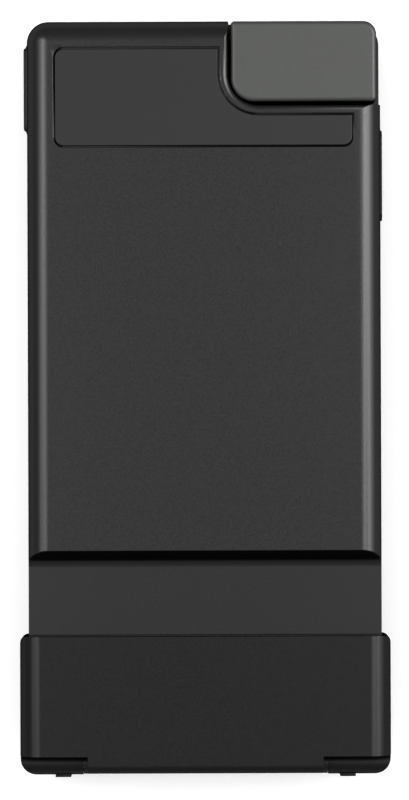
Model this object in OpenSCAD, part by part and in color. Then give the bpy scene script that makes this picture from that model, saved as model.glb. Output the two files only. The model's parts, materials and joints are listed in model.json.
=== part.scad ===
// Folding music keyboard, drawn closed: the left half lies on its back, the right half
// is folded over it, and a raised block on the left half stands in a notch of the right one.
// X runs along the keyboard with the hinge at the +X end, Y from front to back, Z up.
// Both halves are drawn in one half frame: x = 0 on the fold axis and negative towards
// the free end, z = 0 on the fold plane and positive towards the outside of the half.

/* [Keys] */
// Distance from one white key to the next
key_pitch = 21.15; // [20.8:0.05:21.5]
// Gap between neighbouring keys
key_gap = 0.8; // [0.6:0.1:1.1]
// Length of a white key
white_l = 41.3; // [40:0.1:42.5]
// Length of a black key
black_l = 25.5; // [24:0.5:27]
// Width of a black key at its foot
black_w = 11.4; // [10.6:0.1:12]
// Taper of a black key's sides, from foot to top
black_taper = 0.9; // [0.5:0.1:1.2]
// Slope of a black key's front, from foot to top
black_slope = 2.6; // [1.5:0.1:3.5]
// Height of the black keys' tops above the white ones
black_rise = 1.0; // [0.8:0.05:1.1]
// Thickness of a white key
cap_t = 2.0; // [1.8:0.1:2.3]
// Skin of the hollow keys
cap_wall = 0.9; // [0.7:0.05:1.1]
// Travel of a key
key_travel = 1.2; // [1:0.05:1.3]
// Depth of the white keys below the deck
white_sink = 1.3; // [1.2:0.05:1.5]
// Clearance between the keys and their opening
key_clear = 0.25; // [0.2:0.01:0.35]
// Radius of the plungers under the keys
plunger_r = 1.6; // [1.3:0.1:2]

/* [Buttons] */
// Length of a button along the keyboard
button_l = 8.4; // [7.6:0.1:9]
// Width of a button from front to back
button_w = 11.2; // [10:0.1:12]
// Corner radius of a button
button_r = 1.5; // [1:0.1:2.5]
// Distance between the two rows of buttons
button_pitch_x = 10.4; // [10:0.1:11]
// Distance between the buttons of a row
button_pitch_y = 13.6; // [13:0.1:14]
// Depth of the buttons' tops below the deck
button_sink = 0.3; // [0.2:0.05:0.5]

/* [Cases] */
// Depth of a case from front to back
case_w = 82; // [80:0.5:84]
// Wall of the moulded cases
case_wall = 1.5; // [1.3:0.05:1.8]
// Height of the raised pod over the neck
pod_rise = 5.0; // [4.4:0.1:5.6]
// Radius of the pod's outer edges and corners
pod_edge_r = 5.0; // [4.6:0.1:5.4]
// Floor of the thin neck
neck_floor = 1.35; // [1.2:0.05:1.6]
// Reach of the pod's edge from the fold axis
step_reach = 50.0; // [46:0.5:56]
// Run of the slope from the pod down to the neck
step_run = 2.7; // [2:0.1:4]
// Radius of the hollow foot between the slope and the neck
step_foot_r = 2.3; // [1.5:0.1:3]
// Gap between the closed halves
face_gap = 0.3; // [0.2:0.05:0.5]
// Clearance of a frame in its case
fit = 0.1; // [0.06:0.01:0.15]
// Clearance of parts that are fixed together
seat = 0.05; // [0.03:0.01:0.08]

/* [Frames] */
// Thickness of a frame's deck
plate_t = 1.6; // [1.5:0.05:1.7]
// Walls under a frame's deck
frame_wall = 0.9; // [0.8:0.05:1]
// Distance of the deck's end from the fold plane line
seam_edge = 0.35; // [0.3:0.05:0.5]
// Thickness of the rubber contact mats
mat_t = 0.5; // [0.4:0.05:0.6]
// Space that a dome keeps when its key is down
mat_clear = 0.3; // [0.25:0.05:0.4]
// Radius of a dome's foot
dome_foot_r = 2.2; // [2:0.1:2.4]
// Radius of a dome's top
dome_top_r = 1.4; // [1.2:0.1:1.6]
// Thickness of the circuit boards
board_t = 0.8; // [0.7:0.05:1]

/* [Grip pads] */
// Length of a grip pad along the keyboard
pad_l = 23.2; // [21:0.2:24]
// Distance of the pads from the sides and end of the pod
pad_margin = 6.25; // [6:0.05:7]
// Corner radius of a pad's recess
pad_r = 2.4; // [1.5:0.1:3]
// Groove round a pad
pad_groove = 0.4; // [0.3:0.05:0.6]
// Depth of a pad's recess
pad_depth = 0.8; // [0.6:0.05:0.9]
// Distance of the right pad from the notch
pad_notch_gap = 2.1; // [1.8:0.1:2.5]

/* [Notch and corner block] */
// Length of the notch from the free end
notch_l = 19.55; // [19:0.1:20.5]
// Corner radius of the notch
notch_r = 7; // [6:0.2:8]
// Rounding of the notch's outer edge
notch_edge_r = 1.4; // [1:0.1:1.5]
// Gap between the notch and the block along the keyboard
block_gap_x = 0.65; // [0.55:0.05:0.8]
// Gap between the notch and the block from front to back
block_gap_y = 0.5; // [0.4:0.05:0.7]
// Distance of the block from the free end
block_end = 0.3; // [0.2:0.05:0.5]
// Distance of the block from the back
block_back = 1.0; // [0.8:0.1:1.4]
// Depth of the block's top below the right pod
block_sink = 0.3; // [0.2:0.05:0.5]
// Wall of the hollow block
block_wall = 1.5; // [1.2:0.1:1.8]
// Rounding of the block's upper edge
block_edge_r = 1.0; // [0.8:0.1:1.3]

/* [Hinge] */
// How far the hinge housings stand out past the cases at the front and the back
housing_side = 2.2; // [1.8:0.1:2.7]
// Reach of the housings from the fold axis
housing_reach = 29.9; // [28:0.1:32]
// Skin of the housings over the neck
housing_wall = 1.25; // [1.1:0.05:1.4]
// Width of the shadow line in the neck along a housing
seam_w = 0.35; // [0.25:0.05:0.5]
// Radius of the housings' long outer edges
housing_edge_r = 5.0; // [4.6:0.1:5.4]
// Radius of the housings' corners in plan
housing_corner_r = 4.0; // [3.6:0.1:4.4]
// Radius of the housings' edge at the hinge
housing_lip_r = 2.0; // [1.6:0.1:2.2]
// Radius of the left half's knuckles
knuckle_r = 2.75; // [2.65:0.05:2.85]
// Distance of the knuckles' inner ends from the middle
knuckle_y = 28.6; // [28:0.1:29]
// Radius of the hinge pins
pin_r = 1.2; // [1.1:0.05:1.3]
// Running clearance of the pins in the ears
pin_clear = 0.05; // [0.03:0.01:0.08]
// Radius of the right half's ears
ear_r = 2.5; // [2.4:0.05:2.55]
// Width of the front ear
front_ear_w = 2.5; // [2:0.1:3]
// Width of the rear ear, which the cable passes through
rear_ear_w = 6.3; // [6:0.1:6.8]
// Thickness of the hinge washers
washer_t = 1.0; // [0.9:0.05:1.1]
// Reach of the nubs on the knuckles from the fold axis
nub_reach = 3.3; // [3.2:0.05:3.35]
// Width of the nubs
nub_w = 3.6; // [3:0.1:4]
// Distance of the nubs' inner sides from the knuckles' inner ends
nub_y = 2.9; // [2.4:0.1:3.4]
// Height of the nubs
nub_t = 2.0; // [1.6:0.1:2]
// Radius of the cable that passes through the hinge
cable_r = 0.55; // [0.45:0.05:0.6]

/* [Port and fixings] */
// Distance of the port from the free end
port_end = 35.35; // [34:0.1:37]
// Width of the port's metal shell
port_w = 8.94; // [8.9:0.01:9]
// Height of the port's metal shell
port_h = 3.16; // [3.1:0.01:3.2]
// Sheet thickness of the port's shell
port_t = 0.3; // [0.25:0.05:0.35]
// Length of the port's shell
port_l = 6.9; // [6.6:0.1:7.5]
// Width of the bezel round the port
bezel_w = 21.2; // [20:0.1:22]
// Height of the bezel round the port
bezel_h = 6.0; // [5.6:0.1:6.2]
// How far the bezel stands proud of the case
bezel_proud = 0.8; // [0.6:0.1:1]
// Length of the rubber grip on the front
grip_l = 20.5; // [19:0.5:22]
// Height of the rubber grip on the front
grip_h = 5.4; // [5:0.1:5.6]
// Distance of the rubber grip from the free end
grip_end = 4.65; // [4.5:0.05:6]
// How far the rubber grip stands proud of the case
grip_proud = 1.2; // [0.8:0.1:1.4]
// Radius of the screws' heads
screw_head_r = 1.9; // [1.7:0.1:2]
// Radius of the screws' shanks
screw_r = 0.95; // [0.9:0.01:1]
// Radius of the closing magnets
magnet_r = 3.0; // [2.6:0.1:3.4]
// Thickness of the closing magnets
magnet_t = 1.5; // [1.2:0.1:1.8]

/* [Hidden] */
$fn = 48;

LEFT_WHITES = ["key_b3", "key_a3", "key_g3", "key_f3", "key_e3", "key_d3", "key_c3"];
RIGHT_WHITES = ["key_c4", "key_d4", "key_e4", "key_f4", "key_g4", "key_a4", "key_b4", "key_c5"];
// A black key's name and the joint between two white keys that it stands on, from the hinge out
LEFT_BLACKS = [["key_a_sharp3", 0], ["key_g_sharp3", 1], ["key_f_sharp3", 2],
    ["key_d_sharp3", 4], ["key_c_sharp3", 5]];
RIGHT_BLACKS = [["key_c_sharp4", 0], ["key_d_sharp4", 1], ["key_f_sharp4", 3],
    ["key_g_sharp4", 4], ["key_a_sharp4", 5]];
// A button's name and its place in the two rows of three
BUTTONS = [["octave_down_button", 0, 0], ["octave_up_button", 0, 1], ["sustain_button", 0, 2],
    ["pitch_down_button", 1, 0], ["pitch_up_button", 1, 1], ["modulation_button", 1, 2]];

// Heights in the half frame, from the fold plane outwards
z_face = face_gap / 2;
z_plate = z_face + plate_t;
z_white = z_face + white_sink;
z_black = z_white - black_rise;
z_cap_foot = z_white + cap_t;
z_mat = z_cap_foot + key_travel + mat_clear;
z_skirt = z_mat - fit;
z_board = z_mat + mat_t;
z_board_foot = z_board + board_t;
z_floor = z_board_foot + seat;
z_neck = z_floor + neck_floor;
z_pod = z_neck + pod_rise;
z_pod_in = z_pod - case_wall;
z_pad_floor = z_pod - pad_depth;
z_housing = z_neck + seat + housing_wall;
z_pocket = z_mat + seat;
fold_z = z_pod;

// Insets from the case's outer face
frame_inset = case_wall + fit;
opening_inset = frame_inset + frame_wall;
key_inset = opening_inset + key_clear;

// Places along the keyboard, as distances from the fold axis
cell_start = seam_edge + frame_wall + key_clear - key_gap / 2;
case_reach = cell_start + len(RIGHT_WHITES) * key_pitch - key_gap / 2 + key_inset;
left_bank_end = cell_start + len(LEFT_WHITES) * key_pitch - key_gap / 2 + key_clear;
neck_end = 5.0;
seam_depth = 0.6;
board_end = neck_end + 0.6;
notch_x = case_reach - notch_l;
axis_x = (case_reach - nub_reach) / 2;

// Places from front to back
key_front = -case_w / 2 + key_inset;
key_back = key_front + white_l;
black_front = key_back - black_l;
bank_back = key_back + key_clear;
notch_y = bank_back + frame_wall + fit + case_wall;

housing_w = case_w + 2 * housing_side;

// Overlap of solids that are joined, how far a cutter runs past a face, and the
// gap between pieces that lie on each other
weld = 0.1;
past = 1;
contact_gap = 0.02;

// Hinge
knuckle_bore_r = pin_r + pin_clear / 2;
ear_bore_r = pin_r + pin_clear;
washer_play = 0.1;
washer_y = knuckle_y - washer_play - washer_t;
ear_y = washer_y - 2 * washer_play;
cutout_y = ear_y + seat;
cutout_x = 2.0;
cutout_r = knuckle_r + face_gap;
nub_in = knuckle_y + nub_y;
nub_slant = 0.5;
relief_r = norm([nub_reach, nub_t / 2]) + 0.15;
relief_side = 0.3;
corner_cut = relief_r - 0.05;
lip_reach = 2.0;
left_lip = lip_reach + 0.35;
post_reach = 1.6;
post_back = 3.2;
pin_in = ear_y - front_ear_w + seat;
pin_out = housing_w / 2 - 1.3;
bore_out = pin_out + fit;
cable_clear = 0.2;
cable_way_r = cable_r + cable_clear;
cable_z = 3.6;
left_cable_y = case_w / 2 - 3;
right_cable_y = ear_y - rear_ear_w + 1;
rear_pin_out = left_cable_y - 0.8;
cable_meet = pin_in - 0.3;
cable_end = 9;
socket_l = 4;
socket_w = 3;
pin_hollow_r = cable_r + 0.1;
frame_gap_y = 0.3;
front_frame_cut = ear_y - front_ear_w - frame_gap_y - 0.1;
rear_frame_cut = ear_y - rear_ear_w - frame_gap_y;
key_corner_y = black_front - key_gap;

// Corner block, in the left half frame, where it stands above the fold plane
block_x0 = -case_reach + block_end;
block_x1 = -notch_x - block_gap_x;
block_y0 = notch_y + block_gap_y;
block_y1 = case_w / 2 - block_back;
block_h = fold_z - block_sink + z_face;
block_small_r = block_edge_r;
block_inner_r = 5.3;
block_outer_r = 3.1;
// Each corner's place, its radius, the way to its centre and the angle that its arc starts at
BLOCK_CORNERS = [[block_x1, block_y0, block_inner_r, -1, 1, 270],
    [block_x0, block_y1, block_outer_r, 1, -1, 90],
    [block_x1, block_y1, block_small_r, -1, -1, 0],
    [block_x0, block_y0, block_small_r, 1, 1, 180]];
lens_y = block_y0 + 8.55;
lens_w = 3;
lens_h = 1.2;
lens_z = 6.35;
lens_proud = 0.3;
pad_sink = 0.05;
plug_h = 1.4;
plug_t = 1.2;

// Buttons
button_x = (left_bank_end + frame_wall + case_reach - opening_inset) / 2;
button_y = (key_front + key_back) / 2;
z_button = z_face + button_sink;
flange = 0.5;
flange_t = 0.8;

// Port and fixings
port_x = case_reach - port_end;
port_z = z_board - port_h / 2;
port_mouth = case_w / 2 + 0.3;
port_back_t = 0.6;
port_window = 0.18;
port_room = 0.3;
tongue_w = 6.7;
tongue_t = 0.7;
tongue_sink = 1.4;
bezel_r = 2.0;
grip_r = 1.6;
grip_seat = 0.6;
grip_z = z_face + 1.05 + grip_h / 2;
magnet_side = 6;
magnet_step = 10;
magnet_port = 8.7;
magnet_y = case_w / 2 - magnet_side;
MAGNETS_X = [step_reach + magnet_step, port_x - bezel_w / 2 - magnet_port];
screw_pad_in = 3.8;
screw_pad_out = 4.4;
screw_bank = 5.85;
screw_side = 12;
pad_start = -case_reach + pad_margin;
screw_in_x = pad_start + pad_l - screw_pad_in;
screw_out_x = pad_start + screw_pad_out;
screw_front_y = key_back + screw_bank;
screw_back_y = case_w / 2 - screw_side;
RIGHT_SCREWS = [[screw_in_x, screw_front_y], [screw_in_x, screw_back_y]];
LEFT_SCREWS = concat(RIGHT_SCREWS, [[screw_out_x, screw_back_y]]);
boss_r = 3.2;
frame_boss_r = 2.4;
screw_head_h = 1.0;
screw_slot_l = 2.2;
screw_slot_w = 0.4;
screw_slot_t = 0.5;
screw_hole_r = screw_r + 0.15;
pilot_r = screw_r + 0.05;
screw_tip = z_plate + 0.85;
pilot_end = screw_tip - 0.2;
post_pitch = 31;
post_step = 16;
post_side = 17;
post_y = case_w / 2 - post_side;
POSTS = [for (i = [0:2], side = [-1, 1])
    [-(step_reach + post_step + i * post_pitch), side * post_y]];
post_r = 2.2;
dome_front = 8.2;
dome_back = 7;
dome_skin = 0.6;
dome_roof = 0.5;
board_gap = 0.5;
mat_gap = 0.35;
// Size of the controller chip, and its distance from the free end
chip = [9, 9, 1.1];
chip_end = 60.65;
chip_y = 4;

// Colours as the photograph shows them, and usual ones inside
body_black = "#39393b";
pad_black = "#403f3e";
block_grey = "#666864";
key_white = "#e8e6df";
key_black = "#1c1c1e";
board_green = "#24523a";
steel = "#b9bcc0";
mat_grey = "#8d9296";

function cell_x(k) = cell_start + k * key_pitch;
function boundary_x(j) = cell_x(j + 1);
function has_black(blacks, j) = len([for (b = blacks) if (b[1] == j) j]) > 0;
// Side space that a white key's tail leaves free at one joint between keys
function tail_side(blacks, j) = has_black(blacks, j) ? black_w / 2 + key_gap : key_gap / 2;
function tail_x(k, blacks) = (cell_x(k) + tail_side(blacks, k - 1)
    + cell_x(k + 1) - tail_side(blacks, k)) / 2;
function white_domes(k, blacks) = [[-(cell_x(k) + key_pitch / 2), key_front + dome_front],
    [-tail_x(k, blacks), key_back - dome_back]];
function black_dome(j) = [-boundary_x(j), key_back - black_l / 2];
function button_at(b) = [-(button_x + (b[1] - 0.5) * button_pitch_x),
    button_y + (b[2] - 1) * button_pitch_y];
function slope_x(z) = -(step_reach - step_run * (z_pod - z) / pod_rise);
slope_angle = atan2(pod_rise, step_run);
foot_run = step_foot_r * tan(slope_angle / 2);

module on_left() translate([axis_x, 0, fold_z]) mirror([0, 0, 1]) children();
module on_right() translate([axis_x, 0, fold_z]) children();

// Carries a y-z outline along the keyboard
module along_x(x0, x1) translate([x0, 0, 0]) rotate([90, 0, 90]) linear_extrude(x1 - x0) children();
// Carries an x-z outline from front to back
module along_y(y0, y1) translate([0, y1, 0]) rotate([90, 0, 0]) linear_extrude(y1 - y0) children();
module slab(z0, z1) translate([0, 0, z0]) linear_extrude(z1 - z0) children();
module rod_y(r, y0, y1) translate([0, y1, 0]) rotate([90, 0, 0]) cylinder(r = r, h = y1 - y0);

module block3(a, b) translate(a) cube(b - a);
// A box between two distances from the middle, on one side of it
module side_box(side, x0, x1, y0, y1, z0, z1)
    block3([x0, side > 0 ? y0 : -y1, z0], [x1, side > 0 ? y1 : -y0, z1]);
module side_rod(side, r, y0, y1) rod_y(r, side > 0 ? y0 : -y1, side > 0 ? y1 : -y0);

module rounded_rect(l, w, r) {
    translate([-l / 2 + r, -w / 2]) square([l - 2 * r, w]);
    translate([-l / 2, -w / 2 + r]) square([l, w - 2 * r]);
    for (sx = [-1, 1], sy = [-1, 1]) translate([sx * (l / 2 - r), sy * (w / 2 - r)]) circle(r);
}

module quarter_disc(r) intersection() {
    circle(r);
    square(r);
}

// Cross-section with its two upper corners rounded
module arch_profile(w, z0, z1, r) {
    translate([-w / 2, z0]) square([w, z1 - r - z0]);
    translate([-w / 2 + r, z1 - r]) square([w - 2 * r, r]);
    translate([w / 2 - r, z1 - r]) quarter_disc(r);
    translate([-w / 2 + r, z1 - r]) mirror([1, 0]) quarter_disc(r);
}

// Long section with the upper corner of its free end rounded
module end_profile(x0, x1, z0, z1, r) {
    translate([x0, z0]) square([x1 - x0, z1 - r - z0]);
    translate([x0 + r, z1 - r]) square([x1 - x0 - r, r]);
    translate([x0 + r, z1 - r]) mirror([1, 0]) quarter_disc(r);
}

// A block whose free-end corners and upper edges share one radius
module soft_block(x0, x1, w, z0, z1, r) {
    along_x(x0 + r, x1) arch_profile(w, z0, z1, r);
    along_y(-w / 2 + r, w / 2 - r) end_profile(x0, x1, z0, z1, r);
    for (side = [-1, 1]) translate([x0 + r, side * (w / 2 - r), 0])
        rotate([0, 0, side > 0 ? 90 : 180]) rotate_extrude(angle = 90) {
            translate([0, z0]) square([r, z1 - r - z0]);
            translate([0, z1 - r]) quarter_disc(r);
        }
}

// Plan of a case, drawn in by i, up to x1 at the hinge
module free_end_plan(i, x1) {
    r = pod_edge_r - i;
    x0 = -case_reach + i;
    w = case_w - 2 * i;
    translate([x0 + r, -w / 2]) square([x1 - x0 - r, w]);
    translate([x0, -w / 2 + r]) square([r, w - 2 * r]);
    for (side = [-1, 1]) translate([x0 + r, side * (w / 2 - r)]) circle(r);
}

// Plan of the notch, grown by g, open to the free end and the back
module notch_plan(g) {
    far = 20;
    translate([-case_reach - far, notch_y - g])
        square([notch_l + far - notch_r, case_w / 2 - notch_y + far]);
    translate([-case_reach - far, notch_y + notch_r])
        square([notch_l + far + g, case_w / 2 - notch_y + far]);
    translate([-notch_x - notch_r, notch_y + notch_r]) circle(notch_r + g);
}

// Rounds the pod's outer edge round the notch
module notch_edge_cutter() {
    r = notch_edge_r;
    z = z_pod - r;
    far = 10;
    difference() {
        slab(z, z_pod + past) notch_plan(r);
        along_x(-case_reach - far, -notch_x - notch_r) translate([notch_y - r, z]) circle(r);
        along_y(notch_y + notch_r, case_w / 2 + far) translate([-notch_x + r, z]) circle(r);
        translate([-notch_x - notch_r, notch_y + notch_r, z]) rotate([0, 0, -90])
            rotate_extrude(angle = 90) translate([notch_r + r, 0]) circle(r);
    }
}

// Long section of the space over the step down to the neck
module step_profile(shift, foot) polygon([
    [slope_x(foot) - shift, foot], [neck_end * 2, foot], [neck_end * 2, z_pod * 1.5],
    [slope_x(z_pod * 1.5) - shift, z_pod * 1.5]]);

// Long section of the hollow foot that fills the corner between the slope and the neck
module foot_profile() difference() {
    polygon([[slope_x(z_neck), z_neck], [slope_x(z_neck) + foot_run, z_neck],
        [slope_x(z_neck) - foot_run * cos(slope_angle), z_neck + foot_run * sin(slope_angle)]]);
    translate([slope_x(z_neck) + foot_run, z_neck + step_foot_r]) circle(step_foot_r, $fn = 96);
}

module pad_plan(i, notched) {
    x0 = -case_reach + pad_margin + i;
    l = pad_l - 2 * i;
    w = case_w - 2 * (pad_margin + i);
    difference() {
        translate([x0 + l / 2, 0]) rounded_rect(l, w, pad_r - i);
        if (notched) notch_plan(pad_notch_gap + i);
    }
}

module case_block(i, x1, z0, notched) difference() {
    soft_block(-case_reach + i, x1, case_w - 2 * i, z0, z_pod - i, pod_edge_r - i);
    along_y(-case_w, case_w) {
        if (i == 0) difference() {
            step_profile(0, z_neck);
            foot_profile();
        }
        else step_profile(i * norm([step_run, pod_rise]) / pod_rise, z_floor);
    }
    if (notched) slab(z0 - past, z_pod + past) notch_plan(i);
}

module case_shell(notched, screws) difference() {
    union() {
        difference() {
            case_block(0, -neck_end, z_face, notched);
            case_block(case_wall, 0, z_face - past, notched);
        }
        for (at = screws) translate([at[0], at[1], z_floor])
            cylinder(r = boss_r, h = z_pod_in - z_floor + 2 * weld);
        for (at = POSTS) translate([at[0], at[1], z_floor])
            cylinder(r = post_r, h = z_pod_in - z_floor + 2 * weld);
    }
    if (notched) notch_edge_cutter();
    slab(z_pad_floor, z_pod + past) pad_plan(0, notched);
    block3([-housing_reach - seam_w, -case_w, z_neck - seam_depth], [-housing_reach, case_w, z_neck + past]);
    block3([-housing_reach - fit, -case_w, z_face - past], [past, case_w, z_pocket + fit]);
    for (at = screws) translate([at[0], at[1], 0]) {
        translate([0, 0, z_floor - past]) cylinder(r = screw_hole_r, h = pod_rise * 2);
        translate([0, 0, z_pad_floor - screw_head_h]) cylinder(r = screw_head_r + 0.2, h = pad_depth * 3);
    }
}

module right_case() color(body_black) case_shell(true, RIGHT_SCREWS);

module left_case() color(body_black) difference() {
    case_shell(false, LEFT_SCREWS);
    along_y(case_w / 2 - case_wall - past, case_w / 2 + past)
        translate([-port_x, port_z]) rounded_rect(bezel_w + 2 * seat, bezel_h + 2 * seat, bezel_r + seat);
    along_y(-case_w / 2 - past, -case_w / 2 + grip_seat)
        translate([-case_reach + grip_end + grip_l / 2, grip_z])
            rounded_rect(grip_l + 2 * seat, grip_h + 2 * seat, grip_r + seat);
}

module grip_pad(notched) color(pad_black)
    slab(z_pad_floor + contact_gap, z_pod - pad_sink) pad_plan(pad_groove, notched);

module front_grip() color(pad_black)
    along_y(-case_w / 2 - grip_proud, -case_w / 2 + grip_seat - contact_gap)
        translate([-case_reach + grip_end + grip_l / 2, grip_z]) rounded_rect(grip_l, grip_h, grip_r);

// Cuts at the deck's hinge corners, where the knuckles and ears turn
module hinge_corner_plan(g) {
    translate([-corner_cut - g, -case_w]) square([corner_cut * 2, case_w - front_frame_cut + g]);
    translate([-corner_cut - g, rear_frame_cut - g]) square([corner_cut * 2, case_w]);
}

module frame_plan(i, notched) difference() {
    free_end_plan(frame_inset + i, -seam_edge - i);
    hinge_corner_plan(i);
    if (notched) notch_plan(frame_inset + i);
}

// Opening for the keys, grown by g
module bank_plan(g, bank_end, notched) difference() {
    intersection() {
        free_end_plan(opening_inset - g, -seam_edge - frame_wall + g);
        translate([-bank_end - g, -case_w / 2])
            square([bank_end + 2 * g, case_w / 2 + bank_back + g]);
    }
    translate([-corner_cut - frame_wall + g, -case_w])
        square([corner_cut * 2, case_w - front_frame_cut + frame_wall - g]);
}

module frame_shell(bank_end, notched, screws) difference() {
    union() {
        slab(z_face, z_plate) frame_plan(0, notched);
        slab(z_face + weld, z_skirt) difference() {
            frame_plan(0, notched);
            frame_plan(frame_wall, notched);
        }
        slab(z_face + weld, z_skirt) intersection() {
            bank_plan(frame_wall, bank_end, notched);
            frame_plan(0, notched);
        }
        for (at = screws) translate([at[0], at[1], z_face + weld])
            cylinder(r = frame_boss_r, h = z_board - seat - z_face - weld);
        for (x = MAGNETS_X) translate([-x, magnet_y, z_face + weld])
            cylinder(r = magnet_r + fit + frame_wall, h = plate_t + magnet_t);
    }
    slab(z_face - past, z_board) bank_plan(0, bank_end, notched);
    for (at = screws) translate([at[0], at[1], pilot_end]) cylinder(r = pilot_r, h = z_board);
    for (x = MAGNETS_X) translate([-x, magnet_y, z_plate]) cylinder(r = magnet_r + fit, h = z_board);
}

// Hole for the hinge cable through the wall at the deck's corner
module cable_hole(y) translate([-cable_end, y, cable_z]) rotate([0, 90, 0])
    cylinder(r = cable_way_r, h = cable_end);

// Way of the hinge cable from the fold axis outwards, and then to the board
module cable_way(y) {
    translate([0, y, 0]) cylinder(r = cable_way_r, h = cable_z);
    translate([0, y, cable_z]) sphere(cable_way_r);
    cable_hole(y);
}

module right_frame() color(body_black) difference() {
    frame_shell(case_reach - opening_inset, true, RIGHT_SCREWS);
    cable_hole(right_cable_y);
}

module left_frame() color(body_black) {
    difference() {
        frame_shell(left_bank_end, false, LEFT_SCREWS);
        cable_hole(left_cable_y);
        for (b = BUTTONS) translate(button_at(b)) slab(z_face - past, z_board)
            rounded_rect(button_l + 2 * key_clear, button_w + 2 * key_clear, button_r + key_clear);
        along_y(case_w / 2 - case_wall - frame_wall * 2, case_w / 2)
            translate([-port_x - port_w / 2 - port_room, port_z - port_h / 2 - port_window])
                square([port_w + 2 * port_room, z_board]);
    }
    block_plug();
}

// Rim on the deck that centres the corner block
module block_plug() {
    x0 = block_x0 + block_wall + fit;
    x1 = block_x1 - block_wall - fit;
    y0 = block_y0 + block_wall + fit;
    y1 = block_y1 - block_wall - fit;
    r = block_inner_r - block_wall;
    translate([(x0 + x1) / 2, (y0 + y1) / 2, 0]) slab(z_face - plug_h, z_face + weld) difference() {
        rounded_rect(x1 - x0, y1 - y0, r);
        rounded_rect(x1 - x0 - 2 * plug_t, y1 - y0 - 2 * plug_t, r - plug_t);
    }
}

// Plan of the corner block, drawn in by i, with its own radius at each corner
module block_plan(i) difference() {
    translate([block_x0 + i, block_y0 + i])
        square([block_x1 - block_x0 - 2 * i, block_y1 - block_y0 - 2 * i]);
    for (c = BLOCK_CORNERS) if (c[2] > i + 0.01)
        translate([c[0] + c[3] * c[2], c[1] + c[4] * c[2]]) rotate([0, 0, c[5]]) difference() {
            square(c[2] - i + 1);
            circle(c[2] - i);
        }
}

// The block standing on z = 0, with its upper edge rounded
module block_body() {
    r = block_edge_r;
    slab(0, block_h - r) block_plan(0);
    slab(0, block_h) block_plan(r);
    translate([0, 0, block_h - r]) {
        for (c = BLOCK_CORNERS) translate([c[0] + c[3] * c[2], c[1] + c[4] * c[2], 0])
            rotate([0, 0, c[5]]) rotate_extrude(angle = 90) translate([c[2] - r, 0]) quarter_disc(r);
        along_x(block_x0 + block_small_r, block_x1 - block_inner_r)
            translate([block_y0 + r, 0]) mirror([1, 0]) quarter_disc(r);
        along_x(block_x0 + block_outer_r, block_x1 - block_small_r)
            translate([block_y1 - r, 0]) quarter_disc(r);
        along_y(block_y0 + block_small_r, block_y1 - block_outer_r)
            translate([block_x0 + r, 0]) mirror([1, 0]) quarter_disc(r);
        along_y(block_y0 + block_inner_r, block_y1 - block_small_r)
            translate([block_x1 - r, 0]) quarter_disc(r);
    }
}

module corner_block_cover() color(block_grey) difference() {
    translate([0, 0, z_face]) mirror([0, 0, 1]) difference() {
        block_body();
        slab(-past, block_h - block_wall) block_plan(block_wall);
    }
    along_x(block_x0 - past, block_x0 + block_wall + past)
        translate([lens_y, -lens_z]) square([lens_w + 2 * seat, lens_h + 2 * seat], center = true);
}

module status_lens() color("#d9dde0") along_x(block_x0 - lens_proud, block_x0 + block_wall)
    translate([lens_y, -lens_z]) square([lens_w, lens_h], center = true);

// Outer form of a hinge housing that ends at x1 on the hinge side
module housing_block(x1) intersection() {
    along_x(-housing_reach, x1) arch_profile(housing_w, z_face, z_housing, housing_edge_r);
    along_y(-housing_w, housing_w) translate([x1, 0]) mirror([1, 0])
        end_profile(0, housing_reach + x1 + past, z_face - past, z_housing, housing_lip_r);
    slab(z_face - past, z_housing + past) housing_plan(knuckle_r);
}

module housing_plan(x1) translate([(x1 - housing_reach) / 2, 0])
    rounded_rect(housing_reach + x1, housing_w, housing_corner_r);

module neck_pocket() block3([-housing_reach - past, -case_w / 2 - seat, z_pocket - weld],
    [-neck_end + seat, case_w / 2 + seat, z_neck + seat]);

module frame_pocket(x1, half_w)
    block3([-housing_reach - past, -half_w, z_face - past], [x1, half_w, z_pocket]);

module right_ear(side, w) difference() {
    union() {
        side_rod(side, ear_r, ear_y - w, ear_y);
        side_box(side, -ear_r, lip_reach, ear_y - w, ear_y, 0, z_pocket + 2 * weld);
    }
    side_rod(side, ear_bore_r, ear_y - front_ear_w, ear_y + past);
}

module right_hinge_housing() color(body_black) difference() {
    union() {
        difference() {
            housing_block(lip_reach);
            neck_pocket();
            frame_pocket(lip_reach + past, case_w / 2 - case_wall);
            for (side = [-1, 1]) {
                side_box(side, -cutout_x, lip_reach + past, cutout_y, housing_w,
                    z_face - past, z_housing + past);
                side_rod(side, cutout_r, cutout_y, housing_w);
                side_rod(side, relief_r, nub_in - relief_side, nub_in + nub_w + relief_side);
            }
        }
        right_ear(-1, front_ear_w);
        right_ear(1, rear_ear_w);
    }
    // The cable's way through the rear ear
    rod_y(cable_way_r, right_cable_y - cable_way_r, ear_y);
    cable_way(right_cable_y);
}

module left_hinge_housing() color(body_black) difference() {
    union() {
        difference() {
            housing_block(post_reach);
            neck_pocket();
            frame_pocket(-post_back, case_w / 2 - case_wall);
            frame_pocket(post_reach + past, knuckle_y);
            block3([-left_lip, -knuckle_y, z_face - past],
                [post_reach + past, knuckle_y, z_housing + past]);
        }
        for (side = [-1, 1]) {
            intersection() {
                side_rod(side, knuckle_r, knuckle_y, housing_w / 2);
                slab(-knuckle_r - past, knuckle_r + past) housing_plan(knuckle_r);
            }
            knuckle_nub(side);
        }
    }
    for (side = [-1, 1]) side_rod(side, knuckle_bore_r, knuckle_y - past, bore_out);
    // The cable's way down the rear post
    cable_way(left_cable_y);
}

// Small stop on a knuckle, with a slanted inner side
module knuckle_nub(side) translate([0, 0, -nub_t / 2]) linear_extrude(nub_t)
    mirror([0, side > 0 ? 0 : 1]) polygon([[lip_reach, nub_in - nub_slant], [nub_reach, nub_in],
        [nub_reach, nub_in + nub_w], [lip_reach, nub_in + nub_w]]);

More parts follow.
